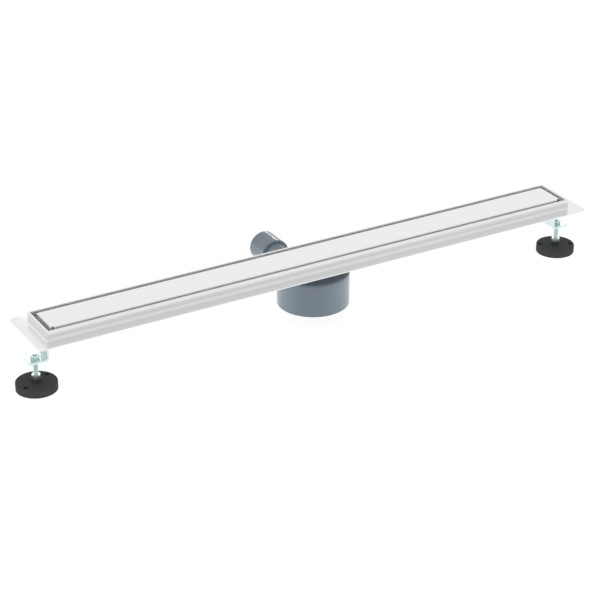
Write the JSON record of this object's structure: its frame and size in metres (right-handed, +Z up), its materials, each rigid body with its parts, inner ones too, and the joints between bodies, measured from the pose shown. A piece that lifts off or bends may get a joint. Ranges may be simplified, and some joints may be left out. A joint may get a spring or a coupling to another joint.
{
  "type": "linear shower drain",
  "caption": "Linear shower drain: long folded steel channel with bonding flange and flush cover plate, round trap with a level outlet, and levelling feet on end brackets.",
  "frame": {"origin": "middle of the cover's top, at finished floor level", "axes": "+X along the channel, +Y out of the outlet, +Z up"},
  "size_m": [1.0362, 0.2265, 0.1118],
  "materials": {
    "stainless": "satin stainless sheet",
    "zinc_plate": "bright zinc plate",
    "trap_plastic": "moulded blue-grey plastic",
    "inner_plastic": "moulded dark grey plastic",
    "foot_plastic": "moulded black plastic, fine texture",
    "seal_rubber": "plain rubber"
  },
  "bodies": {
    "channel": {"bracket_left": "zinc_plate", "bracket_nut_left": "zinc_plate", "bracket_nut_right": "zinc_plate", "bracket_right": "zinc_plate", "channel_body": "stainless", "cover_plate": "stainless", "cover_support_1": "inner_plastic", "cover_support_2": "inner_plastic", "cover_support_3": "inner_plastic", "cover_support_4": "inner_plastic", "cover_support_5": "inner_plastic", "cover_support_6": "inner_plastic", "dip_tube": "inner_plastic", "dip_tube_ring": "seal_rubber", "hair_strainer": "stainless", "outlet_seal": "seal_rubber", "outlet_sleeve": "trap_plastic", "trap_body": "trap_plastic", "trap_gasket": "seal_rubber", "trap_lid": "trap_plastic", "waste_flange": "inner_plastic"},
    "foot_left": {"foot_left": "foot_plastic", "foot_rod_left": "zinc_plate", "lock_nut_left": "zinc_plate"},
    "foot_right": {"foot_right": "foot_plastic", "foot_rod_right": "zinc_plate", "lock_nut_right": "zinc_plate"}
  },
  "joints": [
    {"name": "left_foot_height", "type": "slide", "parent": "channel", "child": "foot_left", "axis": [0, 0, 1], "range_m": [-0.004, 0.022]},
    {"name": "right_foot_height", "type": "slide", "parent": "channel", "child": "foot_right", "axis": [0, 0, 1], "range_m": [-0.004, 0.022]}
  ]
}
